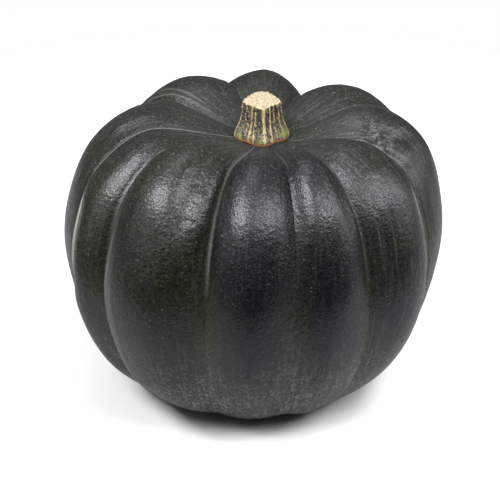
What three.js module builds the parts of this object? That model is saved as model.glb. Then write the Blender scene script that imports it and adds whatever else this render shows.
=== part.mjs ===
// Kabocha squash: a ribbed winter squash with ten lobes, standing on its blossom end, with the cut stub
// of its stalk on top. Millimetres and degrees, +Z up. The origin is on the ground, in the middle of the
// squash's footprint, and the side that is named the front faces -Y.
import * as THREE from 'three';

// ---- Driving dimensions -------------------------------------------------------------------------------

// Crest line of an average lobe, from the blossom end up to the rim of the stalk's seat. Each level gives
// its distance from the axis, its height, and how deep the furrows beside the lobe are there. The lobes'
// feet come out a little below the ground, where the squash's own weight has pressed them flat.
const CREST = [
  { radius: 0, height: 6, furrow: 0 }, // middle of the hollow at the blossom end
  { radius: 36, height: -1, furrow: 2.5 }, // ring that the squash stands on
  { radius: 63, height: 8.5, furrow: 2 }, // underside
  { radius: 82.5, height: 29.5, furrow: 3.5 }, // foot of the belly
  { radius: 95.5, height: 62.5, furrow: 5.5 }, // belly
  { radius: 97.5, height: 95, furrow: 8.5 }, // widest part
  { radius: 84.5, height: 128, furrow: 9 }, // shoulder
  { radius: 55.5, height: 145, furrow: 6.5 }, // top of the shoulder
  { radius: 15, height: 134.5, furrow: 1 }, // rim of the stalk's seat
];

// The ten lobes, anticlockwise from the front one. width is the angle from furrow to furrow, reach is how
// far the lobe bulges against the average one, rise lifts its shoulder and tuck lifts its underside. depth
// and sweep belong to the furrow on its anticlockwise side: its depth against the average furrow, and how
// far it swings round at the belly.
const LOBES = [
  { width: 30, reach: 0.99, rise: 0, tuck: 1.5, depth: 1.1, sweep: -1 }, // front
  { width: 23, reach: 0.96, rise: 0, tuck: -0.5, depth: 1.4, sweep: 1 }, // front right
  { width: 38.5, reach: 0.975, rise: -1.5, tuck: 1, depth: 1.3, sweep: -4 }, // right
  { width: 39, reach: 0.955, rise: 2.5, tuck: 0, depth: 0.85, sweep: 1 }, // far right
  { width: 45, reach: 1.04, rise: -1.5, tuck: 0, depth: 1.8, sweep: 0.5 }, // back right
  { width: 38, reach: 0.99, rise: 0.5, tuck: 0, depth: 0.85, sweep: -1 }, // back
  { width: 39.5, reach: 1.03, rise: 0.5, tuck: 0, depth: 0.95, sweep: 0 }, // back left
  { width: 42, reach: 0.98, rise: -0.5, tuck: 0, depth: 0.45, sweep: 12.5 }, // far left
  { width: 25, reach: 1.02, rise: -3.5, tuck: 0, depth: 0.8, sweep: 6.5 }, // left
  { width: 40, reach: 1.02, rise: 3, tuck: 1.5, depth: 1.15, sweep: 2.5 }, // front left
];
const FIRST_FURROW = -107.5; // bearing of the furrow on the front lobe's clockwise side, from +X
const LOBE_ROUNDNESS = 1.65; // 2 is a parabola across a lobe, and more is flatter with steeper flanks
const SEAT_SHIFT = { x: 3, y: -2 }; // the stalk grows this far off the belly's axis

// Stretches of the climb, from 0 at the blossom end to 1 at the seat's rim. A lobe's rise grows from the
// widest part to the shoulder and fades at the seat, and its tuck comes and goes above the feet.
const SHOULDER = { start: 0.45, full: 0.85, fading: 0.88, end: 1 };
const UNDERSIDE = { start: 0.1, end: 0.45 };

// The stalk's seat on top of the squash, and the gap between the squash and the stalk.
const SEAT = { radius: 14.5, height: 133.7 };
const SEAT_GAP = 0.3;

// Outline of the stalk from its flared foot up to the cut, with heights above the foot.
const STALK = [
  { radius: 12.2, height: 0 },
  { radius: 12.7, height: 1.8 },
  { radius: 12.3, height: 4 },
  { radius: 11, height: 7 },
  { radius: 9.8, height: 10.3 },
  { radius: 9.3, height: 14 },
  { radius: 8.9, height: 19 },
];
const CUT_DOME = 0.5; // the middle of the cut face stands this far above its rim
const CUT_TILT = 0.1; // the cut faces a little to the front: its rise towards the back, over the run
const STALK_CORNERS = { count: 5, share: 0.13 }; // a corner in front, and weaker ones towards the back
const STALK_RIDGES = { count: 18, height: 0.45 }; // fine ridges that run from the cut down to the foot

// Fineness of the facets.
const LOBE_COLUMNS = 10; // facets across a lobe
const SKIN_ROWS = 42; // facets from the blossom end to the seat
const RIDGE_COLUMNS = 4; // facets across a ridge of the stalk
const STALK_ROWS = 12; // facets from the foot to the cut

// ---- Squash -------------------------------------------------------------------------------------------

const { clamp, degToRad, inverseLerp, lerp, smoothstep } = THREE.MathUtils;

// A smooth curve through levels that hold a radius (x), a furrow depth (y, where there is one) and a
// height (z).
function curveThrough(levels) {
  const points = levels.map(({ radius, furrow = 0, height }) => new THREE.Vector3(radius, furrow, height));
  return new THREE.CatmullRomCurve3(points, false, 'catmullrom', 0.5);
}

// A closed surface whose rows run up an outline and whose columns go once round the axis. place gives the
// point of a row and a column, and the first and last rows each meet in one point on the axis.
function closedSkin(rows, columns, place) {
  const outline = [];
  for (let row = 0; row <= rows; row += 1) {
    const onAxis = row === 0 || row === rows;
    outline.push(new THREE.Vector2(onAxis ? 0 : 1, row));
  }
  const geometry = new THREE.LatheGeometry(outline, columns);
  const position = geometry.getAttribute('position');
  for (let i = 0; i < position.count; i += 1) {
    const column = Math.floor(i / outline.length) % columns;
    position.setXYZ(i, ...place(i % outline.length, column));
  }
  geometry.computeVertexNormals();
  return geometry;
}

// Where each lobe starts and ends, with the furrows on both sides of it.
function laidOutLobes() {
  let bearing = FIRST_FURROW;
  return LOBES.map((lobe, index) => {
    const before = LOBES.at(index - 1);
    const start = { bearing, depth: before.depth, sweep: before.sweep };
    bearing += lobe.width;
    return { ...lobe, start, end: { bearing, depth: lobe.depth, sweep: lobe.sweep } };
  });
}

const crest = curveThrough(CREST);
const lobes = laidOutLobes();

// Point on the skin. climb goes from 0 at the blossom end to 1 at the seat's rim, and across from -1 at
// the lobe's clockwise furrow to 1 at its anticlockwise one.
function skinPoint(lobe, climb, across) {
  const { x: radius, y: furrow, z: height } = crest.getPoint(climb);
  const along = crest.getTangent(climb);
  const outward = new THREE.Vector2(along.z, -along.x).normalize();

  const side = across < 0 ? lobe.start : lobe.end;
  const depth = Math.max(furrow, 0) * side.depth;
  const valleyRadius = Math.max(radius - outward.x * depth, 0);
  const valleyHeight = height - outward.y * depth;

  const swing = Math.max(Math.sin(Math.PI * climb), 0);
  const lifted = smoothstep(climb, SHOULDER.start, SHOULDER.full);
  const shoulder = lifted * (1 - smoothstep(climb, SHOULDER.fading, SHOULDER.end));
  const underside = Math.sin(Math.PI * clamp(inverseLerp(UNDERSIDE.start, UNDERSIDE.end, climb), 0, 1));
  const crestRadius = radius * (1 + (lobe.reach - 1) * Math.sqrt(swing));
  const crestHeight = height + lobe.rise * shoulder + lobe.tuck * underside;

  const fullness = 1 - Math.abs(across) ** LOBE_ROUNDNESS;
  const r = lerp(valleyRadius, crestRadius, fullness);
  const z = lerp(valleyHeight, crestHeight, fullness);

  const from = lobe.start.bearing + lobe.start.sweep * swing;
  const to = lobe.end.bearing + lobe.end.sweep * swing;
  const angle = degToRad(lerp(from, to, (across + 1) / 2));
  const shift = smoothstep(climb, 0.5, 1);
  const x = SEAT_SHIFT.x * shift + r * Math.cos(angle);
  const y = SEAT_SHIFT.y * shift + r * Math.sin(angle);
  return [x, y, Math.max(z, 0)];
}

// Rows climb from the blossom end to the seat's rim, and two more close the flat seat.
function squashGeometry() {
  const rim = SKIN_ROWS;
  return closedSkin(rim + 2, LOBE_COLUMNS * lobes.length, (row, column) => {
    const lobe = lobes[Math.floor(column / LOBE_COLUMNS)];
    const across = Math.sin(Math.PI * ((column % LOBE_COLUMNS) / LOBE_COLUMNS - 0.5));
    if (row <= rim) return skinPoint(lobe, row / rim, across);
    const [x, y] = skinPoint(lobe, 1, across);
    const bearing = Math.atan2(y - SEAT_SHIFT.y, x - SEAT_SHIFT.x);
    const r = row === rim + 1 ? SEAT.radius : 0;
    return [SEAT_SHIFT.x + r * Math.cos(bearing), SEAT_SHIFT.y + r * Math.sin(bearing), SEAT.height];
  });
}

// ---- Stalk --------------------------------------------------------------------------------------------

// The first row is the middle of the foot and the last one the middle of the cut.
function stalkGeometry() {
  const side = curveThrough(STALK);
  const columns = STALK_RIDGES.count * RIDGE_COLUMNS;
  const top = STALK.at(-1).height;
  return closedSkin(STALK_ROWS + 2, columns, (row, column) => {
    if (row === 0) return [0, 0, 0];
    if (row === STALK_ROWS + 2) return [0, 0, top + CUT_DOME];
    const { x: radius, z: height } = side.getPoint((row - 1) / STALK_ROWS);
    const angle = (2 * Math.PI * column) / columns;
    const strength = STALK_CORNERS.share * (1 - Math.sin(angle)) / 2;
    const corner = strength * Math.cos(STALK_CORNERS.count * (angle + Math.PI / 2));
    const ridge = STALK_RIDGES.height * Math.cos(STALK_RIDGES.count * angle);
    const r = radius * (1 + corner) + ridge;
    const y = r * Math.sin(angle);
    return [r * Math.cos(angle), y, height + CUT_TILT * y * (height / top) ** 3];
  });
}

// ---- Assembly -----------------------------------------------------------------------------------------

const skin = new THREE.MeshStandardMaterial({ color: 0x333834, roughness: 0.45, metalness: 0 });
const dryStalk = new THREE.MeshStandardMaterial({ color: 0x9a8a5c, roughness: 0.85, metalness: 0 });

const fruit = new THREE.Mesh(squashGeometry(), skin);
fruit.name = 'fruit';

const stem = new THREE.Mesh(stalkGeometry(), dryStalk);
stem.name = 'stem';
stem.position.set(SEAT_SHIFT.x, SEAT_SHIFT.y, SEAT.height + SEAT_GAP);

const squash = new THREE.Group();
squash.add(fruit, stem);

// The lobes differ, so the group is moved to bring the middle of the footprint to the origin.
const middle = new THREE.Box3().setFromObject(fruit).getCenter(new THREE.Vector3());
squash.position.set(-middle.x, -middle.y, 0);

export default squash;
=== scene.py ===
# Kabocha squash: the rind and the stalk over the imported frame. Metres, +Z up, and the front faces -Y.
import math

import bmesh
import bpy
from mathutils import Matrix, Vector, noise
from mathutils.geometry import interpolate_bezier


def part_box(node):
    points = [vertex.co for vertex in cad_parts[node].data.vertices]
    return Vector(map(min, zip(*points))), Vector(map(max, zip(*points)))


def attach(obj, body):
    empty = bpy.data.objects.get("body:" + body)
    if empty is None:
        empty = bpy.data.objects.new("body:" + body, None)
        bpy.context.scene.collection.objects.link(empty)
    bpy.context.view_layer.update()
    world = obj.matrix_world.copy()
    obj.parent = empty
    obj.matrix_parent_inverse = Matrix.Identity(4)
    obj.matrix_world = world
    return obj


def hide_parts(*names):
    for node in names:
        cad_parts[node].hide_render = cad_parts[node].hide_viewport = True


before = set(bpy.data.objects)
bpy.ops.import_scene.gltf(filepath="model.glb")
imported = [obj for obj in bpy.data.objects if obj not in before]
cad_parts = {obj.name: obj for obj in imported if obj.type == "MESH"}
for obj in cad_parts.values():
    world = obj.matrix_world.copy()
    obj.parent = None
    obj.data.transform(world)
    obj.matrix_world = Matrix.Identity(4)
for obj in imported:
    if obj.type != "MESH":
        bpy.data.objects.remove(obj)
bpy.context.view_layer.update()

# ---- The view -------------------------------------------------------------------------------------------
# A long lens looks down at the squash from in front, a little left of its middle, with the stalk in the
# hollow between the shoulders.
VIEW_TARGET = Vector((-0.00183, 0.0, 0.07))
VIEW_DISTANCE = 0.8
VIEW_ELEVATION = math.radians(28)
VIEW_LENS = 113.5  # millimetres, on the standard 36 mm sensor

lens = bpy.data.cameras.new("view")
lens.lens = VIEW_LENS
camera = bpy.data.objects.new("view", lens)
towards_viewer = Vector((0.0, -math.cos(VIEW_ELEVATION), math.sin(VIEW_ELEVATION)))
camera.location = VIEW_TARGET + VIEW_DISTANCE * towards_viewer
camera.rotation_euler = towards_viewer.to_track_quat("Z", "Y").to_euler()
bpy.context.scene.collection.objects.link(camera)
bpy.context.scene.camera = camera

# ---- The squash -----------------------------------------------------------------------------------------
# One grown fruit: ten lobes parted by furrows that run from the blossom end, which it stands on, up to the
# stalk. Its rind is hard, nearly black green, and waxy, with a fine pebbled grain and a few dents and folds.

# Crest line of an average lobe: distance from the axis, height, and depth of the furrows beside it.
CREST = [
    (0.0, 0.006, 0.0),  # middle of the hollow at the blossom end
    (0.036, -0.001, 0.0025),  # ring that the squash stands on
    (0.063, 0.0085, 0.002),  # underside
    (0.0825, 0.0295, 0.0035),  # foot of the belly
    (0.0955, 0.0625, 0.0055),  # belly
    (0.0975, 0.095, 0.0085),  # widest part
    (0.0845, 0.128, 0.009),  # shoulder
    (0.0555, 0.145, 0.0065),  # top of the shoulder
    (0.015, 0.1345, 0.001),  # rim of the stalk's seat
]
SEAT_HEIGHT = 0.1337
SEAT_SHIFT = Vector((0.003, -0.002))  # the stalk grows this far off the belly's axis

# The ten lobes, anticlockwise from the front one: angle from furrow to furrow, reach against the average
# lobe, lift of the shoulder, lift of the underside, and the depth against the average and the swing in
# degrees of the furrow on the anticlockwise side.
LOBES = [
    (30.0, 0.99, 0.0, 0.0007, 1.1, -1.0),  # front
    (23.0, 0.96, 0.0, -0.0005, 1.4, 1.0),  # front right
    (38.5, 0.975, -0.0015, 0.001, 1.3, -4.0),  # right
    (39.0, 0.955, 0.0025, 0.0, 0.85, 1.0),  # far right
    (45.0, 1.04, -0.0015, 0.0, 1.8, 0.5),  # back right
    (38.0, 0.99, 0.0005, 0.0, 0.85, -1.0),  # back
    (39.5, 1.03, 0.0005, 0.0, 0.95, 0.0),  # back left
    (42.0, 0.98, -0.0005, 0.0, 0.45, 12.5),  # far left
    (25.0, 1.02, -0.0035, 0.0, 0.8, 6.5),  # left
    (40.0, 1.02, 0.003, 0.0015, 1.15, 2.5),  # front left
]
FIRST_FURROW = -107.5  # bearing of the furrow on the front lobe's clockwise side, in degrees from +X

# How round each lobe is on its belly and on its shoulder: 2 is a parabola across the lobe, and more is
# flatter with steeper flanks.
ROUNDNESS = [
    (1.65, 2.3),
    (1.65, 2.0),
    (1.65, 1.65),
    (1.65, 1.65),
    (1.65, 1.65),
    (1.65, 1.65),
    (1.65, 1.65),
    (1.65, 1.9),
    (1.65, 2.2),
    (3.2, 2.3),
]

# How strongly each lobe is streaked lengthwise, and its cast: 0 is olive and 1 is blue.
STREAKED = [0.15, 0.2, 0.45, 0.6, 0.25, 0.15, 0.25, 0.45, 0.15, 0.15]
CAST = [0.95, 0.9, 0.6, 0.5, 0.4, 0.4, 0.4, 0.25, 0.1, 0.15]

LEVEL_ROWS = 24  # rows of faces from one level of the crest line to the next
SEAT_ROWS = 5
LOBE_COLUMNS = 48
COLUMN_GATHER = 0.85  # how far the columns crowd towards the furrows, from 0 to 1
CLIMB_LENGTH = 0.28  # length of the crest line

# Places up the squash are given as the climb, from 0 at the blossom end to 1 at the seat's rim. Each pair
# is the climb where something starts to come or go, and the climb where it has come or gone.
LIFT_COMES, LIFT_GOES = (0.45, 0.85), (0.88, 1.0)  # the lift of a lobe's shoulder
UNDERSIDE_START, UNDERSIDE_SPAN = 0.1, 0.35  # the lift of its underside
SHOULDER_COMES = (0.55, 0.75)  # from the belly's roundness to the shoulder's
SHIFT_COMES = (0.5, 1.0)  # the lean towards the stalk
SOFT_COMES, SOFT_GOES = (0.20, 0.34), (0.52, 0.74)  # the soft valleys of the belly
RELIEF_COMES, RELIEF_GOES = (0.04, 0.2), (0.93, 1.0)  # all fine relief
VALLEY_GOES = (0.50, 0.72)  # the olive, dusty floors of the furrows
# The paleness of the raised lines is partly a painted highlight on their lips.
PALE_LINE_WANES = (0.68, 0.85)  # the paleness of the raised lines
LINE_NARROWS = (0.62, 0.85)  # the width of the raised lines
STREAKS_GATHER = (0.82, 0.95)  # the streaks round the stalk

CREST_SOFTNESS = 0.16  # share of a lobe's half width over which its crest is rounded off

GROOVE_WIDTH = 0.0018  # bottom of a furrow
SUTURE_HEIGHT, SUTURE_WIDTH = 0.00035, 0.0005  # the thin raised line along it
SUTURE_SPREAD = 1.2  # how much broader that line is on the belly
# The raised line's paleness is partly its own colour and partly a painted highlight on its lip.
SUTURE_PALENESS_AND_HIGHLIGHT, SUTURE_WANING = 0.2, 0.65  # how pale it is, and how much of that it loses near the stalk
RISEN_BELOW, RISEN_ABOVE = 0.12, 0.04  # it rises over this climb about the level where it fades
PALE_BELOW, PALE_ABOVE = 0.15, 0.02  # and turns pale over this climb
RIB_HEIGHT, RIB_SPACING, RIB_REACH = 0.00016, 0.0030, 0.013  # fine ribs that run beside it
RIB_START = 0.0012  # they stop this far short of the bottom
RIB_CHANGES = 5.0  # how often they change from the blossom end to the stalk
FURROW_APART, SIDE_APART = 3.7, 1.9  # keep the ribs of two furrows, and of a furrow's two sides, unlike
VALLEY_REACH = 0.0065  # half width of the olive, dusty floor of a furrow on the belly
DENT_DEPTH, DENT_SIZE = 0.0005, 0.030  # broad unevenness of the flesh
PEBBLE_DEPTH, PEBBLE_SIZE = 0.00004, 0.0045  # pebbled look of the rind
WRINKLE_DEPTH, WRINKLE_SIZE = 0.00045, 0.0036  # lumps and pits of a wrinkled place
FOLD_LEVEL = 0.35  # share of a fold's length over which it keeps its full height
STREAKS_BESIDE_FURROW, STREAKS_ROUND_STALK = 0.7, 0.8
CAST_BLEND, CAST_BLEND_POWER = 0.5, 6  # how far and how late a lobe's cast turns to its neighbour's

# The furrow after each lobe: how strongly its raised line shows, in height and in a paleness that is partly
# a painted highlight on its lip, the climb below which that line fades, how deep the groove at its bottom is
# (negative where it is filled), how strongly the rind is ribbed beside it, and how far it opens into a soft
# valley on the belly.
FURROWS = [
    (0.35, 0.72, -0.0004, 0.2, 0.8),
    (0.6, 0.66, 0.0003, 0.5, 0.4),
    (1.15, 0.55, 0.0008, 0.9, 0.0),
    (0.9, 0.6, 0.0010, 0.9, 0.3),
    (0.3, 0.6, 0.0008, 1.0, 0.4),
    (0.3, 0.6, 0.0008, 0.8, 0.4),
    (0.4, 0.6, 0.0012, 1.3, 0.3),
    (1.7, 0.45, 0.0006, 0.7, 0.0),
    (0.8, 0.74, 0.0003, 0.5, 0.15),
    (1.2, 0.70, 0.0004, 0.4, 0.8),
]

# Extra folds along a lobe, which counts from 0 for the front one: lobe, place across it from -1 to 1,
# height, half width, the climb's start and end, and how pale the fold is, that paleness being partly a
# painted highlight along its ridge. A negative height is a valley.
FOLDS = [
    (0, 0.20, -0.0005, 0.0050, 0.62, 0.84, 0.0),
    (1, 0.52, -0.0009, 0.0035, 0.68, 0.93, 0.0),
    (1, -0.52, 0.0007, 0.0036, 0.66, 0.93, 0.0),
    (2, 0.70, -0.0022, 0.0070, 0.50, 0.78, 0.0),
    (3, -0.955, 0.0004, 0.0004, 0.45, 1.00, 0.15),
    (3, 0.55, 0.0004, 0.0006, 0.72, 0.98, 0.12),
    (3, 0.72, 0.0003, 0.0005, 0.76, 0.98, 0.07),
    (3, 0.30, -0.0005, 0.0020, 0.70, 0.95, 0.0),
    (3, -0.70, -0.0014, 0.0052, 0.80, 1.00, 0.0),
    (4, -0.60, 0.0003, 0.0007, 0.70, 0.98, 0.06),
    (4, -0.20, 0.0002, 0.0006, 0.66, 0.96, 0.05),
    (6, 0.80, 0.0006, 0.0009, 0.74, 0.98, 0.12),
    (6, 0.62, 0.0005, 0.0008, 0.70, 0.98, 0.08),
    (7, -0.85, 0.0004, 0.0008, 0.70, 0.98, 0.08),
    (7, 0.54, 0.0020, 0.0040, 0.78, 0.94, 0.0),
    (8, -0.55, -0.0022, 0.0070, 0.50, 0.74, 0.0),
    (9, 0.52, -0.0018, 0.0048, 0.69, 0.88, 0.0),
    (9, 0.79, 0.0016, 0.0036, 0.68, 0.90, 0.0),
    (9, -0.73, 0.0006, 0.0034, 0.26, 0.78, 0.17),
    (9, -0.60, 0.0003, 0.0014, 0.26, 0.70, 0.14),
]

# Wrinkled places: lobe, place across it and climb, half size in both, and strength.
WRINKLES = [
    (0, -0.45, 0.74, 0.30, 0.030, 0.25),
    (2, 0.35, 0.60, 0.35, 0.080, 0.5),
    (3, -0.70, 0.84, 0.22, 0.050, 0.3),
    (5, 0.00, 0.66, 0.80, 0.100, 0.4),
    (8, 0.20, 0.62, 0.60, 0.080, 0.4),
    (9, 0.72, 0.79, 0.26, 0.060, 1.0),
    (9, 0.10, 0.70, 0.60, 0.050, 0.12),
]

# Single dents and bumps, such as healed scars: lobe, place across it, climb, half size and height.
SCARS = [
    (1, -0.84, 0.230, 0.0070, -0.0018),
    (3, -0.84, 0.872, 0.0030, -0.0022),
    (3, -0.80, 0.850, 0.0022, 0.0012),
    (3, -0.86, 0.829, 0.0028, -0.0022),
    (3, -0.60, 0.868, 0.0026, 0.0009),
    (3, -0.48, 0.880, 0.0030, -0.0009),
    (3, -0.76, 0.783, 0.0055, 0.0012),
    (3, -0.42, 0.800, 0.0040, -0.0010),
    (3, -0.55, 0.818, 0.0034, -0.0008),
    (4, -0.20, 0.620, 0.0060, -0.0010),
    (6, 0.30, 0.550, 0.0040, -0.0008),
    (8, 0.35, 0.860, 0.0120, 0.0024),
    (9, -0.05, 0.765, 0.0140, 0.0010),
    (9, 0.84, 0.230, 0.0080, -0.0022),
]


def smoothstep(low, high, value):
    """0 below low, 1 above high, and a smooth step between them."""
    share = min(max((value - low) / (high - low), 0.0), 1.0)
    return share * share * (3.0 - 2.0 * share)


def smooth_line(levels, steps):
    """Points of a smooth curve through the levels, with the same number of steps between each two."""
    levels = [Vector(level) for level in levels]
    levels = [2 * levels[0] - levels[1], *levels, 2 * levels[-1] - levels[-2]]
    points = [levels[1]]
    for a, b, c, d in zip(levels, levels[1:], levels[2:], levels[3:]):
        points += interpolate_bezier(b, b + (c - a) / 6, c - (d - b) / 6, c, steps + 1)[1:]
    return points


def round_skin(rows, columns, attributes):
    """A ball of the given rows and columns, and the row and column of each of its vertices."""
    ball = bmesh.new()
    for name in attributes:
        ball.verts.layers.float.new(name)
    bmesh.ops.create_uvsphere(ball, u_segments=columns, v_segments=rows, radius=1.0)
    places = {}
    for vert in ball.verts:
        row = round(math.acos(max(-1.0, min(1.0, -vert.co.z))) / math.pi * rows)
        column = round(math.atan2(vert.co.y, vert.co.x) / math.tau * columns) % columns
        places[vert] = (row, column)
    return ball, places


def rind_rows():
    """For each row up to the seat's rim: climb, radius, height, furrow depth and the way out, (r, z)."""
    line = smooth_line(CREST, LEVEL_ROWS)
    rows = []
    for i, (radius, height, furrow) in enumerate(line):
        along = line[min(i + 1, len(line) - 1)] - line[max(i - 1, 0)]
        outward = Vector((along.y, -along.x)).normalized()
        rows.append((i / (len(line) - 1), radius, height, max(furrow, 0.0), outward))
    return rows


def rind_columns():
    """For each column: its lobe, its place across it, and the furrows before and after the lobe."""
    columns = []
    bearing = FIRST_FURROW
    for index, (width, *_, depth, swing) in enumerate(LOBES):
        before = (bearing, *LOBES[index - 1][4:])
        bearing += width
        after = (bearing, depth, swing)
        for step in range(LOBE_COLUMNS):
            even = 2.0 * step / LOBE_COLUMNS - 1.0
            gathered = math.sin(0.5 * math.pi * even)
            columns.append((index, even + COLUMN_GATHER * (gathered - even), before, after))
    return columns


def rind_point(row, column):
    """Where the plain lobed skin runs, and the lobe's width there."""
    climb, radius, height, furrow, outward = row
    index, across, before, after = column
    _, reach, rise, tuck, _, _ = LOBES[index]
    depth = furrow * (before[1] if across < 0 else after[1])
    valley = Vector((max(radius - outward.x * depth, 0.0), height - outward.y * depth))
    swing = max(math.sin(math.pi * climb), 0.0)
    shoulder = smoothstep(*LIFT_COMES, climb) * (1.0 - smoothstep(*LIFT_GOES, climb))
    underside = math.sin(math.pi * min(max((climb - UNDERSIDE_START) / UNDERSIDE_SPAN, 0.0), 1.0))
    crest_radius = radius * (1 + (reach - 1) * math.sqrt(swing))
    crest = Vector((crest_radius, height + rise * shoulder + tuck * underside))
    rounded = math.sqrt(across * across + CREST_SOFTNESS * CREST_SOFTNESS * (1.0 - across * across))
    softness = FURROWS[index if across > 0 else index - 1][-1] * (1.0 - smoothstep(*SOFT_GOES, climb))
    softness *= smoothstep(*SOFT_COMES, climb)
    broad = smoothstep(*SHOULDER_COMES, climb)
    belly_roundness, shoulder_roundness = ROUNDNESS[index]
    fullness = 1.0 - rounded ** (belly_roundness + broad * (shoulder_roundness - belly_roundness))
    fullness += softness * (0.5 + 0.5 * math.cos(math.pi * across) - fullness)
    r, z = valley.lerp(crest, fullness)
    start = before[0] + before[2] * swing
    end = after[0] + after[2] * swing
    angle = math.radians(start + (end - start) * (across + 1) / 2)
    shift = SEAT_SHIFT * smoothstep(*SHIFT_COMES, climb)
    point = Vector((shift.x + r * math.cos(angle), shift.y + r * math.sin(angle), z))
    return point, r * math.radians(end - start)


def folding(climb, index, across, width):
    """How far the folds lift the skin at a place, and how pale they make it, partly as painted highlight."""
    lift, pale = 0.0, 0.0
    for lobe, middle, height, half_width, start, end, paleness in FOLDS:
        if lobe == index:
            off = 0.5 * width * (across - middle) / half_width
            ends = 1.0 - smoothstep(FOLD_LEVEL, 1.0, abs(2.0 * climb - start - end) / (end - start))
            lift += height * math.exp(-off * off) * ends
            pale += paleness * math.exp(-3.0 * off * off) * ends
    return lift, pale


def line_width(climb):
    """The raised line along a furrow is broader on the belly than near the stalk."""
    return SUTURE_WIDTH * (1.0 + SUTURE_SPREAD * (1.0 - smoothstep(*LINE_NARROWS, climb)))


def rind_relief(climb, index, across, width, place, wrinkled):
    """How far the real skin stands out from the plain lobed one."""
    gap = 0.5 * width * (1.0 - abs(across))
    grown = smoothstep(*RELIEF_COMES, climb) * (1.0 - smoothstep(*RELIEF_GOES, climb))
    strength, fade, groove, ribbing, softness = FURROWS[index if across > 0 else index - 1]
    raised = strength * smoothstep(fade - RISEN_BELOW, fade + RISEN_ABOVE, climb)
    open_valley = softness * (1.0 - smoothstep(*SHOULDER_COMES, climb))
    relief = -groove * (1.0 - open_valley) * math.exp(-(gap / GROOVE_WIDTH) ** 2)
    relief += SUTURE_HEIGHT * raised * math.exp(-(gap / line_width(climb)) ** 2)
    apart = FURROW_APART * index + (SIDE_APART if across > 0 else 0.0)
    rib = noise.noise(Vector((gap / RIB_SPACING, apart, RIB_CHANGES * climb)))
    rib = 1.0 - 3.0 * abs(rib)
    begun = smoothstep(0.0, RIB_START, gap)
    relief += RIB_HEIGHT * ribbing * rib * begun * math.exp(-(gap / RIB_REACH) ** 2)
    relief += DENT_DEPTH * noise.noise(place / DENT_SIZE)
    relief += PEBBLE_DEPTH * noise.noise(place / PEBBLE_SIZE)
    relief += WRINKLE_DEPTH * wrinkled * noise.noise(place / WRINKLE_SIZE)
    for scar_lobe, scar_across, scar_climb, size, height in SCARS:
        if scar_lobe == index:
            along = CLIMB_LENGTH * (climb - scar_climb)
            off = math.hypot(along, 0.5 * width * (across - scar_across)) / size
            relief += height * math.exp(-off * off)
    return relief * grown


def wrinkling(climb, index, across):
    """How wrinkled a place is, from 0 to 1."""
    total = 0.0
    for lobe, middle, level, half_across, half_climb, strength in WRINKLES:
        if lobe == index:
            off = ((across - middle) / half_across) ** 2 + ((climb - level) / half_climb) ** 2
            total += strength * math.exp(-off)
    return min(total, 1.0)


def fit_to_node(mesh, node):
    """Brings a mesh's box onto the box of the CAD node that it stands for."""
    low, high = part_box(node)
    own_low = Vector([min(vert.co[i] for vert in mesh.verts) for i in range(3)])
    own_high = Vector([max(vert.co[i] for vert in mesh.verts) for i in range(3)])
    for vert in mesh.verts:
        for i in range(3):
            share = (vert.co[i] - own_low[i]) / (own_high[i] - own_low[i])
            vert.co[i] = low[i] + share * (high[i] - low[i])


def finished_object(mesh, name, material):
    """The object of a finished mesh, smooth all over, with its faces pointing out."""
    bmesh.ops.recalc_face_normals(mesh, faces=mesh.faces)
    for face in mesh.faces:
        face.smooth = True
    data = bpy.data.meshes.new(name)
    mesh.to_mesh(data)
    mesh.free()
    data.materials.append(material)
    made = bpy.data.objects.new(name, data)
    bpy.context.scene.collection.objects.link(made)
    return made


RIND_LAYERS = ["furrow", "east", "north", "climb", "wrinkle", "streaked", "cast", "valley"]


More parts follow.
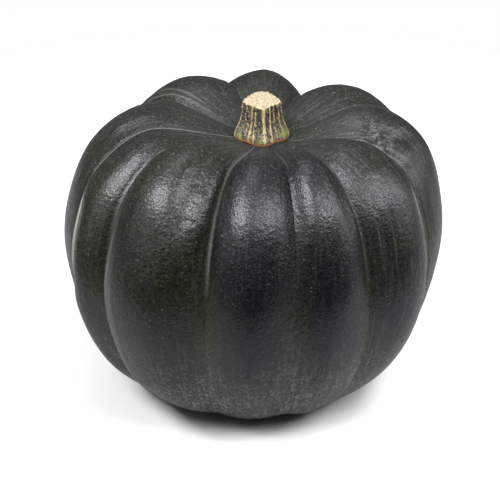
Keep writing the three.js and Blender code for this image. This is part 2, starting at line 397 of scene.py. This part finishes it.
def rind_mesh():
    """The lobed skin with its relief, and the layers that its material reads."""
    rows, columns = rind_rows(), rind_columns()
    rim = len(rows) - 1
    mesh, places = round_skin(rim + SEAT_ROWS, len(columns), RIND_LAYERS)
    furrow, east, north, up, wrinkle, streaked, cast, valley = (
        mesh.verts.layers.float[name] for name in RIND_LAYERS
    )
    widths = {}
    for vert, (row, column) in places.items():
        vert.co, widths[vert] = rind_point(rows[min(row, rim)], columns[column])
        if row > rim:
            centre = Vector((*SEAT_SHIFT, SEAT_HEIGHT))
            left = 1.0 - (row - rim) / SEAT_ROWS
            vert.co = centre + left * Vector((vert.co.x - centre.x, vert.co.y - centre.y, 0.0))
    mesh.normal_update()
    reliefs = {}
    for vert, (row, column) in places.items():
        climb = min(row / rim, 1.0)
        index, across, before, after = columns[column]
        vert[wrinkle] = wrinkling(climb, index, across)
        lift, pale = folding(climb, index, across, widths[vert])
        reliefs[vert] = lift + rind_relief(climb, index, across, widths[vert], vert.co, vert[wrinkle])
        gap = 0.5 * widths[vert] * (1.0 - abs(across))
        strength, fade, _, ribbing, _ = FURROWS[index if across > 0 else index - 1]
        raised = strength * math.exp(-(gap / line_width(climb)) ** 2)
        raised *= smoothstep(fade - PALE_BELOW, fade + PALE_ABOVE, climb)
        waned = 1.0 - SUTURE_WANING * smoothstep(*PALE_LINE_WANES, climb)
        # Painted pale here: the raised lines and folds, partly their own colour and partly a painted
        # highlight.
        vert[furrow] = SUTURE_PALENESS_AND_HIGHLIGHT * raised * raised * waned + pale
        bearing = math.radians(before[0] + (after[0] - before[0]) * (across + 1.0) / 2.0)
        vert[east], vert[north], vert[up] = math.cos(bearing), math.sin(bearing), climb
        beside = STREAKS_BESIDE_FURROW * ribbing * math.exp(-(gap / RIB_REACH) ** 2)
        round_stalk = STREAKS_ROUND_STALK * smoothstep(*STREAKS_GATHER, climb)
        vert[streaked] = min(max(STREAKED[index], beside, round_stalk), 1.0)
        vert[valley] = math.exp(-(gap / VALLEY_REACH) ** 2) * (1.0 - smoothstep(*VALLEY_GOES, climb))
        neighbour = CAST[(index + (1 if across > 0 else -1)) % len(LOBES)]
        blend = CAST_BLEND * abs(across) ** CAST_BLEND_POWER
        vert[cast] = CAST[index] + blend * (neighbour - CAST[index])
    for vert, relief in reliefs.items():
        vert.co += relief * vert.normal
        vert.co.z = max(vert.co.z, 0.0)
    fit_to_node(mesh, "fruit")
    return mesh


def add(tree, kind, inputs=None, **settings):
    """A new node of a material, with its settings and the values of its unlinked inputs."""
    made = tree.nodes.new(kind)
    for name, value in settings.items():
        setattr(made, name, value)
    for name, value in (inputs or {}).items():
        made.inputs[name].default_value = value
    return made


def mask(tree, source, low, high):
    """0 where the value is below low, 1 where it is above high."""
    ends = {"From Min": low, "From Max": high}
    made = add(tree, "ShaderNodeMapRange", ends, interpolation_type="SMOOTHSTEP")
    tree.links.new(source, made.inputs["Value"])
    return made.outputs["Result"]


def noise_value(tree, coordinates, scale, detail=3.0, roughness=0.5):
    """Value of a noise over the coordinates, about 0.5 in its middle."""
    made = add(tree, "ShaderNodeTexNoise", {"Scale": scale, "Detail": detail, "Roughness": roughness})
    tree.links.new(coordinates, made.inputs["Vector"])
    return made.outputs["Fac"]


def mixed(tree, factor, first, second, blend="MIX"):
    """One colour laid over another. factor, first and second are outputs or plain values."""
    made = add(tree, "ShaderNodeMix", data_type="RGBA", blend_type=blend)
    for socket, value in ((made.inputs[0], factor), (made.inputs[6], first), (made.inputs[7], second)):
        if isinstance(value, bpy.types.NodeSocket):
            tree.links.new(value, socket)
        elif socket.type == "RGBA":
            socket.default_value = (*value, 1.0)
        else:
            socket.default_value = value
    return made.outputs[2]


def calculated(tree, operation, first, second):
    """Result of a sum over outputs or plain values."""
    made = add(tree, "ShaderNodeMath", operation=operation)
    for socket, value in zip(made.inputs, (first, second)):
        if isinstance(value, bpy.types.NodeSocket):
            tree.links.new(value, socket)
        else:
            socket.default_value = value
    return made.outputs[0]


def offset(tree, source, reach):
    """A noise's swing about its middle, scaled."""
    return calculated(tree, "MULTIPLY", calculated(tree, "SUBTRACT", source, 0.5), reach)


GRAIN_SMOOTHNESS = 0.6  # how softly its cells run together
GRAIN_BREAKING = (4.0, 0.6)  # detail and roughness of the noise that breaks them up
GRAIN_BREAKS = 2.3  # how much finer that noise is than the cells


def fine_grain_group():
    """Pebbled grain of plant skin: shallow rounded cells broken up by noise, as a height."""
    group = bpy.data.node_groups.new("fine_grain", "ShaderNodeTree")
    group.interface.new_socket("Vector", in_out="INPUT", socket_type="NodeSocketVector")
    group.interface.new_socket("Cell Scale", in_out="INPUT", socket_type="NodeSocketFloat")
    group.interface.new_socket("Roughening", in_out="INPUT", socket_type="NodeSocketFloat")
    group.interface.new_socket("Height", in_out="OUTPUT", socket_type="NodeSocketFloat")
    entry = group.nodes.new("NodeGroupInput")
    leave = group.nodes.new("NodeGroupOutput")
    cells = add(group, "ShaderNodeTexVoronoi", feature="SMOOTH_F1")
    cells.inputs["Smoothness"].default_value = GRAIN_SMOOTHNESS
    detail, roughness = GRAIN_BREAKING
    rough = add(group, "ShaderNodeTexNoise", {"Detail": detail, "Roughness": roughness})
    finer = add(group, "ShaderNodeMath", operation="MULTIPLY")
    finer.inputs[1].default_value = GRAIN_BREAKS
    weighed = add(group, "ShaderNodeMath", operation="MULTIPLY")
    total = add(group, "ShaderNodeMath", operation="ADD")
    for source, target in (
        (entry.outputs["Vector"], cells.inputs["Vector"]),
        (entry.outputs["Vector"], rough.inputs["Vector"]),
        (entry.outputs["Cell Scale"], cells.inputs["Scale"]),
        (entry.outputs["Cell Scale"], finer.inputs[0]),
        (finer.outputs[0], rough.inputs["Scale"]),
        (rough.outputs["Fac"], weighed.inputs[0]),
        (entry.outputs["Roughening"], weighed.inputs[1]),
        (cells.outputs["Distance"], total.inputs[0]),
        (weighed.outputs[0], total.inputs[1]),
        (total.outputs[0], leave.inputs["Height"]),
    ):
        group.links.new(source, target)
    return group


fine_grain = fine_grain_group()


def grain_height(tree, coordinates, cell_scale, roughening):
    """Height of the fine grain in one material."""
    made = add(tree, "ShaderNodeGroup", node_tree=fine_grain)
    made.inputs["Cell Scale"].default_value = cell_scale
    made.inputs["Roughening"].default_value = roughening
    tree.links.new(coordinates, made.inputs["Vector"])
    return made.outputs["Height"]


RIND_GREEN = (0.0024, 0.0037, 0.0010)
RIND_BLUE = (0.0016, 0.0025, 0.0030)
RIND_OLIVE = (0.033, 0.036, 0.011)
RIND_BLOOM = (0.120, 0.130, 0.116)
RIND_PALE = (0.060, 0.066, 0.056)
# Pale dust low on the belly: partly real dust, partly painted light bounced up from the sheet.
RIND_DUST_AND_BOUNCE = (0.270, 0.270, 0.215)
VALLEY_OLIVE = (0.034, 0.035, 0.016)
# Pale of the raised lines and folds: partly their own colour, partly a painted highlight.
FURROW_PALE_AND_HIGHLIGHT = (0.50, 0.51, 0.44)
SPECK_PALE = (0.085, 0.092, 0.030)

# Each noise of the rind, as scale, detail and roughness, and the values between which its colour comes in.
STREAK_NOISE, STREAK_RANGE = (1.0, 5.0, 0.68), (0.50, 0.66)
STREAK_STRETCH, STREAK_SHARE = (54.0, 54.0, 9.0), 0.60  # fine round a lobe and long up it
PATCH_NOISE, BLUE_RANGE = (28.0, 4.0, 0.65), (0.15, 0.85)
PATCH_REACH = 2.4  # how far the patches swing the cast
OLIVE_NOISE, OLIVE_RANGE = (1000.0, 4.0, 0.75), (0.48, 0.74)
OLIVE_ENDS = (0.1, 1.1)  # the cast over which the olive grain ends
BLOOM_NOISE, BLOOM_RANGE = (700.0, 4.0, 0.75), (0.53, 0.78)
BLOOM_ON_BELLY, BLOOM_ABOVE = 0.22, 0.6  # and how much more of it there is on the shoulders
VALLEY_NOISE, VALLEY_RANGE = (600.0, 4.0, 0.8), (0.34, 0.72)
DUST_NOISE, DUST_RANGE = (650.0, 4.0, 0.75), (0.485, 0.63)
DUST_STREAKING, DUST_DRIFTING, DUST_AND_BOUNCE_SHARE = 0.4, 0.2, 0.80
DRIFT_NOISE = (110.0, 3.0, 0.6)  # makes the dust thicker in places
SPECK_NOISE, SPECK_RANGE = (55.0, 3.0, 0.7), (0.52, 0.62)
SPECKS_PER_METRE, SPECK_SIZE = 330.0, 0.13  # and a speck's radius against their spacing
DULL_NOISE, DULL_RANGE = (2600.0, 2.0, 0.5), (0.45, 0.55)
LUMP_NOISE = (380.0, 3.0)
LUMPS_EVERYWHERE, LUMPS_WRINKLED, LUMPS_STREAKED = 0.42, 0.7, 0.7

# The climb over which each of these comes in or goes.
# The pale dust, partly painted bounce light from the sheet, goes over this climb.
DUST_GOES = (0.26, 0.54)
BLOOM_COMES = (0.62, 0.85)
BASIN_COMES = (0.88, 0.97)  # round the stalk the wax is dull

WAX_GLOSS, WAX_DULLEST, BASIN_DULLER = 0.21, 0.46, 0.35  # roughness
WAX_IOR = 1.43
LUMP_STRENGTH, LUMP_DEPTH = 0.9, 0.0008
GRAIN_STRENGTH, GRAIN_DEPTH = 0.42, 0.0003
GRAIN_CELLS, GRAIN_ROUGHENING = 850.0, 0.8


def rind_material():
    """Waxy rind: dark green with a cast, streaks, bloom, pale lines with painted highlight, low dust with
    painted bounce light, and yellow specks.
    """
    made = bpy.data.materials.new("waxy_rind")
    made.use_nodes = True
    tree = made.node_tree
    shader = tree.nodes["Principled BSDF"]
    place = add(tree, "ShaderNodeTexCoord").outputs["Object"]
    furrow, east, north, climb, wrinkle, streaked, cast, valley = (
        add(tree, "ShaderNodeAttribute", attribute_name=name).outputs["Fac"] for name in RIND_LAYERS
    )
    growth = add(tree, "ShaderNodeCombineXYZ").outputs["Vector"]
    for source, socket in zip((east, north, climb), growth.node.inputs):
        tree.links.new(source, socket)

    # Streaks follow the growth from the blossom end to the stalk, so they are long up a lobe.
    stretched = add(tree, "ShaderNodeMapping", {"Scale": STREAK_STRETCH})
    tree.links.new(growth, stretched.inputs["Vector"])
    streaks = noise_value(tree, stretched.outputs["Vector"], *STREAK_NOISE)

    # The cast goes from olive to blue over broad and small patches, and is less blue low on the belly.
    low_down = calculated(tree, "SUBTRACT", 1.0, mask(tree, climb, *DUST_GOES))
    patches = noise_value(tree, place, *PATCH_NOISE)
    blue = calculated(tree, "ADD", cast, offset(tree, patches, PATCH_REACH))
    blue = calculated(tree, "SUBTRACT", blue, low_down)
    colour = mixed(tree, mask(tree, blue, *BLUE_RANGE), RIND_GREEN, RIND_BLUE)
    olive = mask(tree, noise_value(tree, place, *OLIVE_NOISE), *OLIVE_RANGE)
    not_blue = calculated(tree, "SUBTRACT", 1.0, mask(tree, blue, *OLIVE_ENDS))
    colour = mixed(tree, calculated(tree, "MULTIPLY", olive, not_blue), colour, RIND_OLIVE)
    bloom = mask(tree, noise_value(tree, place, *BLOOM_NOISE), *BLOOM_RANGE)
    higher = calculated(tree, "MULTIPLY", mask(tree, climb, *BLOOM_COMES), BLOOM_ABOVE)
    higher = calculated(tree, "ADD", higher, BLOOM_ON_BELLY)
    colour = mixed(tree, calculated(tree, "MULTIPLY", bloom, higher), colour, RIND_BLOOM)
    streak_share = calculated(tree, "MULTIPLY", mask(tree, streaks, *STREAK_RANGE), streaked)
    colour = mixed(tree, calculated(tree, "MULTIPLY", streak_share, STREAK_SHARE), colour, RIND_PALE)
    # The raised lines and folds are painted pale, partly as their own colour and partly as a painted
    # highlight on their lips.
    colour = mixed(tree, furrow, colour, FURROW_PALE_AND_HIGHLIGHT)

    # Low on the belly the furrows are paler and olive, and the whole rind is dry and dusty with pale specks.
    # That dust is partly real and partly painted light bounced up from the sheet, lightest lowest down.
    mottled = mask(tree, noise_value(tree, place, *VALLEY_NOISE), *VALLEY_RANGE)
    colour = mixed(tree, calculated(tree, "MULTIPLY", valley, mottled), colour, VALLEY_OLIVE)
    dust = noise_value(tree, place, *DUST_NOISE)
    dust = calculated(tree, "ADD", dust, offset(tree, streaks, DUST_STREAKING))
    drifts = noise_value(tree, place, *DRIFT_NOISE)
    dust = calculated(tree, "ADD", dust, offset(tree, drifts, DUST_DRIFTING))
    dusty = calculated(tree, "MULTIPLY", mask(tree, dust, *DUST_RANGE), DUST_AND_BOUNCE_SHARE)
    # Painted bounce light from the sheet mixed with real pale dust, lightest lowest on the belly.
    colour = mixed(tree, calculated(tree, "MULTIPLY", low_down, dusty), colour, RIND_DUST_AND_BOUNCE)

    # Small yellow specks, in loose swarms.
    specks = add(tree, "ShaderNodeTexVoronoi", {"Scale": SPECKS_PER_METRE, "Randomness": 1.0})
    tree.links.new(place, specks.inputs["Vector"])
    chosen = mask(tree, noise_value(tree, place, *SPECK_NOISE), *SPECK_RANGE)
    dots = calculated(tree, "LESS_THAN", specks.outputs["Distance"], SPECK_SIZE)
    colour = mixed(tree, calculated(tree, "MULTIPLY", dots, chosen), colour, SPECK_PALE)
    tree.links.new(colour, shader.inputs["Base Color"])

    # The wax shines unevenly, and is dull round the stalk.
    rough = mask(tree, noise_value(tree, place, *DULL_NOISE), *DULL_RANGE)
    spread = add(tree, "ShaderNodeMapRange", {"To Min": WAX_GLOSS, "To Max": WAX_DULLEST})
    tree.links.new(rough, spread.inputs["Value"])
    dull = calculated(tree, "MULTIPLY", mask(tree, climb, *BASIN_COMES), BASIN_DULLER)
    tree.links.new(calculated(tree, "ADD", spread.outputs["Result"], dull), shader.inputs["Roughness"])
    shader.inputs["IOR"].default_value = WAX_IOR

    # Small lumps, more of them where the rind is wrinkled, lie under a finer pebbled grain.
    roughened = calculated(tree, "MULTIPLY", wrinkle, LUMPS_WRINKLED)
    roughened = calculated(tree, "ADD", roughened, LUMPS_EVERYWHERE)
    lumps = calculated(tree, "MULTIPLY", noise_value(tree, place, *LUMP_NOISE), roughened)
    combed = calculated(tree, "MULTIPLY", offset(tree, streaks, LUMPS_STREAKED), streaked)
    lumps = calculated(tree, "ADD", lumps, combed)
    hammered = add(tree, "ShaderNodeBump", {"Strength": LUMP_STRENGTH, "Distance": LUMP_DEPTH})
    tree.links.new(lumps, hammered.inputs["Height"])
    grain = add(tree, "ShaderNodeBump", {"Strength": GRAIN_STRENGTH, "Distance": GRAIN_DEPTH})
    tree.links.new(grain_height(tree, place, GRAIN_CELLS, GRAIN_ROUGHENING), grain.inputs["Height"])
    tree.links.new(hammered.outputs["Normal"], grain.inputs["Normal"])
    tree.links.new(grain.outputs["Normal"], shader.inputs["Normal"])
    return made


rind = finished_object(rind_mesh(), "rind", rind_material())
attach(rind, "root")
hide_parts("fruit")

# ---- The stalk ------------------------------------------------------------------------------------------
# The stub of the vine's stalk, cut when the squash was picked and since dried to cork. It flares onto the
# squash over a brown corky ring, and pale raised stripes run up its dark sides to the pale sawn cut.

# Side of the stalk: radius and height above its foot.
STALK = [
    (0.0122, 0.0),
    (0.0127, 0.0018),
    (0.0123, 0.004),
    (0.011, 0.007),
    (0.0098, 0.0103),
    (0.0093, 0.014),
    (0.0089, 0.019),
]
# Its section is a rounded kite: radius against the side's at bearings in degrees from +X.
SECTION = [
    (-90, 1.11),
    (-54, 0.89),
    (-16, 1.07),
    (30, 0.86),
    (90, 0.98),
    (150, 0.86),
    (196, 1.07),
    (234, 0.89),
    (270, 1.11),
]
# Raised stripes: bearing and half width in degrees, and strength.
STRIPES = [
    (-83.5, 6.0, 1.0),
    (-64, 5.2, 0.9),
    (-47, 4.0, 0.6),
    (-30, 5.0, 0.6),
    (-10, 6.0, 0.8),
    (9, 5.0, 0.7),
    (29, 6.0, 0.8),
    (49, 5.0, 0.6),
    (69, 6.5, 0.9),
    (90, 5.0, 0.7),
    (110, 6.0, 0.8),
    (131, 5.0, 0.6),
    (151, 6.5, 0.9),
    (172, 5.0, 0.7),
    (192, 6.0, 0.8),
    (213, 4.0, 0.6),
    (224, 3.0, 0.5),
    (236.5, 5.2, 0.9),
    (249.5, 4.4, 0.8),
]
STRIPE_HEIGHT = 0.0008
STRIPE_WANDER, WANDERS_PER_METRE = 2.5, 90  # how many degrees a stripe strays, and how often it turns
STRIPE_LEVEL, STRIPE_BREAKS, BREAKS_PER_METRE = 0.85, 0.4, 330  # it is broken up along its length
FIBRE_HEIGHT, FIBRES_ROUND, FIBRE_TURNS_PER_METRE = 0.00008, 45, 250

# Patches that are still green: bearing, height above the foot, and half size in degrees and in metres.
GREEN_PATCHES = [
    (-28, 0.0035, 13, 0.0022),
    (-93, 0.002, 6, 0.0022),
    (208, 0.002, 9, 0.002),
    (-76, 0.018, 5, 0.0015),
]
STALK_COLUMNS = 320
STALK_LEVEL_ROWS = 14
FOOT_ROWS, CUT_ROWS = 4, 24
CUT_TILT = 0.1  # the cut faces a little to the front
CUT_DOME = 0.0009
CUT_GRIT, GRIT_SIZE = 0.00022, 0.0012
CUT_EDGE = 0.12  # share of the cut's radius that is smooth, at its rim
STALK_LAYERS = ["stripe", "up", "cut", "green"]


def section_share(bearing):
    """The section's radius at a bearing against the side's."""
    for (before, share), (after, next_share) in zip(SECTION, SECTION[1:]):
        if before <= bearing <= after:
            return share + (next_share - share) * smoothstep(before, after, bearing)


def stripe_strength(bearing, height):
    """How far up a stripe a point of the side lies, from 0 to 1."""
    strongest = 0.0
    for middle, half_width, strength in STRIPES:
        wander = STRIPE_WANDER * noise.noise(Vector((middle, 0.0, WANDERS_PER_METRE * height)))
        off = (bearing - middle - wander + 180) % 360 - 180
        broken = noise.noise(Vector((middle, 5.0, BREAKS_PER_METRE * height)))
        breaks = STRIPE_LEVEL + STRIPE_BREAKS * broken
        strongest = max(strongest, strength * breaks * math.exp(-(off / half_width) ** 2))
    return min(strongest, 1.0)


def greenness(bearing, height):
    """How green a point of the side still is, from 0 to 1."""
    total = 0.0
    for middle, middle_height, half_width, half_height in GREEN_PATCHES:
        off = ((bearing - middle + 180) % 360 - 180) / half_width
        total += math.exp(-off * off - ((height - middle_height) / half_height) ** 2)
    return min(total, 1.0)


def stalk_mesh():
    """The stalk from the middle of its foot, up its striped side and over the cut."""
    side = smooth_line([(*level, 0.0) for level in STALK], STALK_LEVEL_ROWS)
    top = STALK[-1][1]
    rim = FOOT_ROWS + len(side) - 1
    mesh, places = round_skin(rim + CUT_ROWS, STALK_COLUMNS, STALK_LAYERS)
    stripe_layer, up_layer, cut_layer, green_layer = (
        mesh.verts.layers.float[name] for name in STALK_LAYERS
    )
    low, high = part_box("stem")
    middle = Vector(((low[0] + high[0]) / 2, (low[1] + high[1]) / 2, low[2]))
    for vert, (row, column) in places.items():
        bearing = (360 * column / STALK_COLUMNS + 90) % 360 - 90
        angle = math.radians(bearing)
        radius, height, _ = side[min(max(row - FOOT_ROWS, 0), len(side) - 1)]
        stripe = stripe_strength(bearing, height)
        around = Vector((math.cos(angle), math.sin(angle), 0.0))
        turn = Vector((0, 0, FIBRE_TURNS_PER_METRE * height))
        fibres = FIBRE_HEIGHT * noise.noise(FIBRES_ROUND * around + turn)
        r = radius * section_share(bearing) + STRIPE_HEIGHT * (stripe - 0.5) + fibres
        z = height
        if row < FOOT_ROWS:
            r *= row / FOOT_ROWS
        if row > rim:
            inward = (row - rim) / CUT_ROWS
            r *= 1.0 - inward
            grit = noise.noise(r * around / GRIT_SIZE) * smoothstep(0.0, CUT_EDGE, inward)
            z += CUT_DOME * (1 - (1 - inward) ** 2) + CUT_GRIT * grit
        z += CUT_TILT * r * math.sin(angle) * (height / top) ** 3
        vert.co = middle + r * around + Vector((0.0, 0.0, z))
        vert[stripe_layer] = stripe
        vert[up_layer] = height / top
        vert[cut_layer] = 1.0 if row > rim else 0.0
        vert[green_layer] = greenness(bearing, height)
    fit_to_node(mesh, "stem")
    return mesh


STALK_DARK = (0.008, 0.008, 0.004)
STALK_SPECK = (0.28, 0.21, 0.10)
STALK_GREY = (0.165, 0.155, 0.115)
STRIPE_TAN = (0.44, 0.34, 0.17)
STRIPE_RUST = (0.26, 0.16, 0.06)
STALK_GREEN = (0.17, 0.19, 0.03)
CORK_BROWN = (0.38, 0.15, 0.035)
CORK_PALE = (0.30, 0.27, 0.22)
CUT_CREAM = (0.40, 0.335, 0.225)
CUT_TAN = (0.22, 0.145, 0.06)

# Each noise of the stalk, as scale, detail and roughness, and the values between which a colour comes in.
MOTTLE_NOISE = (450.0, 4.0, 0.6)
FLECK_NOISE, FLECK_RANGE = (1500.0, 2.0, 0.6), (0.56, 0.66)
FIBRE_NOISE, FIBRE_STRETCH = (1300.0, 3.0, 0.65), (1.0, 1.0, 0.3)
PITH_NOISE, PITH_RANGE = (1100.0, 3.0, 0.7), (0.46, 0.60)
WORN_RANGE, WORN_MOTTLING = (0.42, 0.60), 0.5
STRIPE_RANGE, STRIPE_FRAYING, STRIPE_FLECKING = (0.34, 0.68), 1.5, 1.6
DIRT_RANGE, DIRT_FIBRES = (0.46, 0.68), 0.8
GREEN_RANGE, GREEN_FLECKING, GREEN_SHARE = (0.35, 0.7), 1.6, 0.85
RING_MOTTLING = 0.10

# Shares of the stalk's height over which each of these ends.
HEM_ENDS = (0.004, 0.012)
RING_ENDS = (0.045, 0.085)
WEATHERING_ENDS = (0.12, 0.55)

STALK_ROUGHNESS = 0.75
CORK_STRENGTH, CORK_DEPTH = 0.7, 0.0004
CORK_CELLS, CORK_ROUGHENING = 1400.0, 0.8


def stalk_material():
    """Dry cork: dark grooves, tan stripes, green patches, a brown ring at the foot and a cream cut."""
    made = bpy.data.materials.new("dry_stalk")
    made.use_nodes = True
    tree = made.node_tree
    shader = tree.nodes["Principled BSDF"]
    place = add(tree, "ShaderNodeTexCoord").outputs["Object"]
    stripe, up, cut, green = (
        add(tree, "ShaderNodeAttribute", attribute_name=name).outputs["Fac"] for name in STALK_LAYERS
    )
    mottle = noise_value(tree, place, *MOTTLE_NOISE)
    flecks = noise_value(tree, place, *FLECK_NOISE)
    upright = add(tree, "ShaderNodeMapping", {"Scale": FIBRE_STRETCH})
    tree.links.new(place, upright.inputs["Vector"])
    fibres = noise_value(tree, upright.outputs["Vector"], *FIBRE_NOISE)

    # The grooves are dark with tan specks near the cut, and weathered to grey streaks towards the foot.
    colour = mixed(tree, mask(tree, flecks, *FLECK_RANGE), STALK_DARK, STALK_SPECK)
    low_down = calculated(tree, "SUBTRACT", 1.0, mask(tree, up, *WEATHERING_ENDS))
    worn = calculated(tree, "ADD", fibres, offset(tree, mottle, WORN_MOTTLING))
    weathered = calculated(tree, "MULTIPLY", low_down, mask(tree, worn, *WORN_RANGE))
    colour = mixed(tree, weathered, colour, STALK_GREY)

    # The stripes are tan with ragged edges, and rusty in patches.
    ragged = calculated(tree, "ADD", stripe, offset(tree, fibres, STRIPE_FRAYING))
    ragged = calculated(tree, "ADD", ragged, offset(tree, flecks, STRIPE_FLECKING))
    dirt = calculated(tree, "ADD", mottle, offset(tree, fibres, DIRT_FIBRES))
    stripes = mixed(tree, mask(tree, dirt, *DIRT_RANGE), STRIPE_TAN, STRIPE_RUST)
    colour = mixed(tree, mask(tree, ragged, *STRIPE_RANGE), colour, stripes)
    grown = calculated(tree, "ADD", green, offset(tree, flecks, GREEN_FLECKING))
    fresh = calculated(tree, "MULTIPLY", mask(tree, grown, *GREEN_RANGE), GREEN_SHARE)
    colour = mixed(tree, fresh, colour, STALK_GREEN)

    # A brown corky ring with a pale hem runs round the foot, and the cut shows cream pith and tan fibre.
    edge = calculated(tree, "ADD", up, offset(tree, mottle, RING_MOTTLING))
    ring = calculated(tree, "SUBTRACT", 1.0, mask(tree, edge, *RING_ENDS))
    colour = mixed(tree, ring, colour, CORK_BROWN)
    hem = calculated(tree, "SUBTRACT", 1.0, mask(tree, up, *HEM_ENDS))
    colour = mixed(tree, hem, colour, CORK_PALE)
    pith = noise_value(tree, place, *PITH_NOISE)
    face = mixed(tree, mask(tree, pith, *PITH_RANGE), CUT_CREAM, CUT_TAN)
    colour = mixed(tree, cut, colour, face)
    tree.links.new(colour, shader.inputs["Base Color"])
    shader.inputs["Roughness"].default_value = STALK_ROUGHNESS

    grain = add(tree, "ShaderNodeBump", {"Strength": CORK_STRENGTH, "Distance": CORK_DEPTH})
    tree.links.new(grain_height(tree, place, CORK_CELLS, CORK_ROUGHENING), grain.inputs["Height"])
    tree.links.new(grain.outputs["Normal"], shader.inputs["Normal"])
    return made


stalk = finished_object(stalk_mesh(), "stalk", stalk_material())
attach(stalk, "root")
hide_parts("stem")

# ---- The studio -----------------------------------------------------------------------------------------
# The squash stands on a wide white sheet in a dim white room. Soft boxes stand high on the left, in front
# and on the right, with a small one behind and a fill overhead. Low panels, which are screened off the
# sheet, lift the squash's sides, and one box lights the sheet alone.
FLOOR_RADIUS, FLOOR_SHIFT = 0.36, 0.16  # the sheet reaches farther behind the squash than in front
FLOOR_WHITE = (0.60, 0.585, 0.56)
FLOOR_DULL = (0.27, 0.27, 0.27)  # what the squash sees of the sheet
SHEET_ROUGHNESS, SHEET_SPECULAR = 0.9, 0.1
PAPER_NOISE, PAPER_DARKER = (300.0, 2.0), 0.99
LIGHT_COLOUR = (0.96, 0.985, 1.05)
PANEL_COLOUR = (1.00, 0.985, 0.985)
LIGHT_DISTANCE = 1.4
FRONT_LIGHT, BACK_LIGHT, CEILING_LIGHT = 0.0, 0.18, 0.52
WALL_SPAN, CEILING_SPAN = (-0.5, 0.6), (0.22, 0.97)  # where the back wall and the ceiling come in

sheet_mesh = bmesh.new()
bmesh.ops.create_circle(sheet_mesh, cap_ends=True, segments=128, radius=FLOOR_RADIUS)
bmesh.ops.translate(sheet_mesh, verts=sheet_mesh.verts, vec=(0.0, FLOOR_SHIFT, 0.0))
paper = bpy.data.materials.new("white_sheet")
paper.use_nodes = True
paper_tree = paper.node_tree
paper_shader = paper_tree.nodes["Principled BSDF"]
paper_shader.inputs["Roughness"].default_value = SHEET_ROUGHNESS
paper_shader.inputs["Specular IOR Level"].default_value = SHEET_SPECULAR
paper_place = add(paper_tree, "ShaderNodeTexCoord").outputs["Object"]
paper_fibre = noise_value(paper_tree, paper_place, *PAPER_NOISE)
paper_seen = add(paper_tree, "ShaderNodeLightPath").outputs["Is Camera Ray"]
paper_darker = tuple(PAPER_DARKER * part for part in FLOOR_WHITE)
paper_white = mixed(paper_tree, paper_fibre, FLOOR_WHITE, paper_darker)
paper_colour = mixed(paper_tree, paper_seen, FLOOR_DULL, paper_white)
paper_tree.links.new(paper_colour, paper_shader.inputs["Base Color"])
floor = finished_object(sheet_mesh, "floor", paper)

sheet_only = bpy.data.collections.new("sheet_only")
sheet_only.objects.link(floor)
all_but_sheet = bpy.data.collections.new("all_but_sheet")
all_but_sheet.objects.link(floor)
all_but_sheet.collection_objects[0].light_linking.link_state = "EXCLUDE"


def softbox(name, azimuth, elevation, size, power, lit=None):
    """An area light that looks at the squash from a bearing (from +X) and a height, both in degrees. It
    lights all that it reaches, or only what a collection says."""
    lamp = bpy.data.lights.new(name, "AREA")
    lamp.shape = "RECTANGLE"
    lamp.size, lamp.size_y = size
    lamp.energy = power
    lamp.color = PANEL_COLOUR if lit == all_but_sheet else LIGHT_COLOUR
    made = bpy.data.objects.new(name, lamp)
    a, e = math.radians(azimuth), math.radians(elevation)
    away = Vector((math.cos(a) * math.cos(e), math.sin(a) * math.cos(e), math.sin(e)))
    made.location = VIEW_TARGET + LIGHT_DISTANCE * away
    made.rotation_euler = away.to_track_quat("Z", "Y").to_euler()
    made.light_linking.receiver_collection = lit
    bpy.context.scene.collection.objects.link(made)


softbox("left_box", -145, 52, (1.20, 0.38), 35.0)
softbox("front_box", -46, 47, (0.40, 0.50), 15.0)
softbox("right_box", -3, 33, (0.30, 0.34), 7.0)
softbox("back_box", 118, 66, (0.30, 0.40), 2.8)
softbox("front_fill", -95, 66, (1.40, 0.70), 2.5)
softbox("front_panel", -95, 28, (1.70, 0.80), 2.4, all_but_sheet)
softbox("right_panel", 1, 12, (1.43, 0.60), 6.5, all_but_sheet)
softbox("left_panel", 206, 16, (1.10, 0.80), 3.6, all_but_sheet)
softbox("sheet_box", -20, 62, (1.20, 0.40), 22.0, sheet_only)

room = bpy.data.worlds.new("room")
bpy.context.scene.world = room
room.use_nodes = True
room_tree = room.node_tree
backdrop = room_tree.nodes["Background"]
backdrop.inputs["Color"].default_value = (1.0, 1.0, 1.0, 1.0)
towards = add(room_tree, "ShaderNodeSeparateXYZ")
room_tree.links.new(add(room_tree, "ShaderNodeTexCoord").outputs["Generated"], towards.inputs[0])


def room_share(axis, start, end, low, high):
    """Light of the room from one level to another along an axis."""
    made = add(
        room_tree,
        "ShaderNodeMapRange",
        {"From Min": start, "From Max": end, "To Min": low, "To Max": high},
        interpolation_type="SMOOTHSTEP",
    )
    room_tree.links.new(towards.outputs[axis], made.inputs["Value"])
    return made.outputs["Result"]


# The viewer sees plain white behind the sheet, and the squash is lit by the room's dim walls and ceiling.
wall = room_share("Y", *WALL_SPAN, FRONT_LIGHT, BACK_LIGHT)
overhead = room_share("Z", *CEILING_SPAN, 0.0, CEILING_LIGHT)
seen = add(room_tree, "ShaderNodeLightPath").outputs["Is Camera Ray"]
level = add(room_tree, "ShaderNodeMapRange", {"To Max": 1.0})
room_tree.links.new(seen, level.inputs["Value"])
room_tree.links.new(calculated(room_tree, "ADD", wall, overhead), level.inputs["To Min"])
room_tree.links.new(level.outputs["Result"], backdrop.inputs["Strength"])
bpy.context.scene.view_settings.view_transform = "Standard"
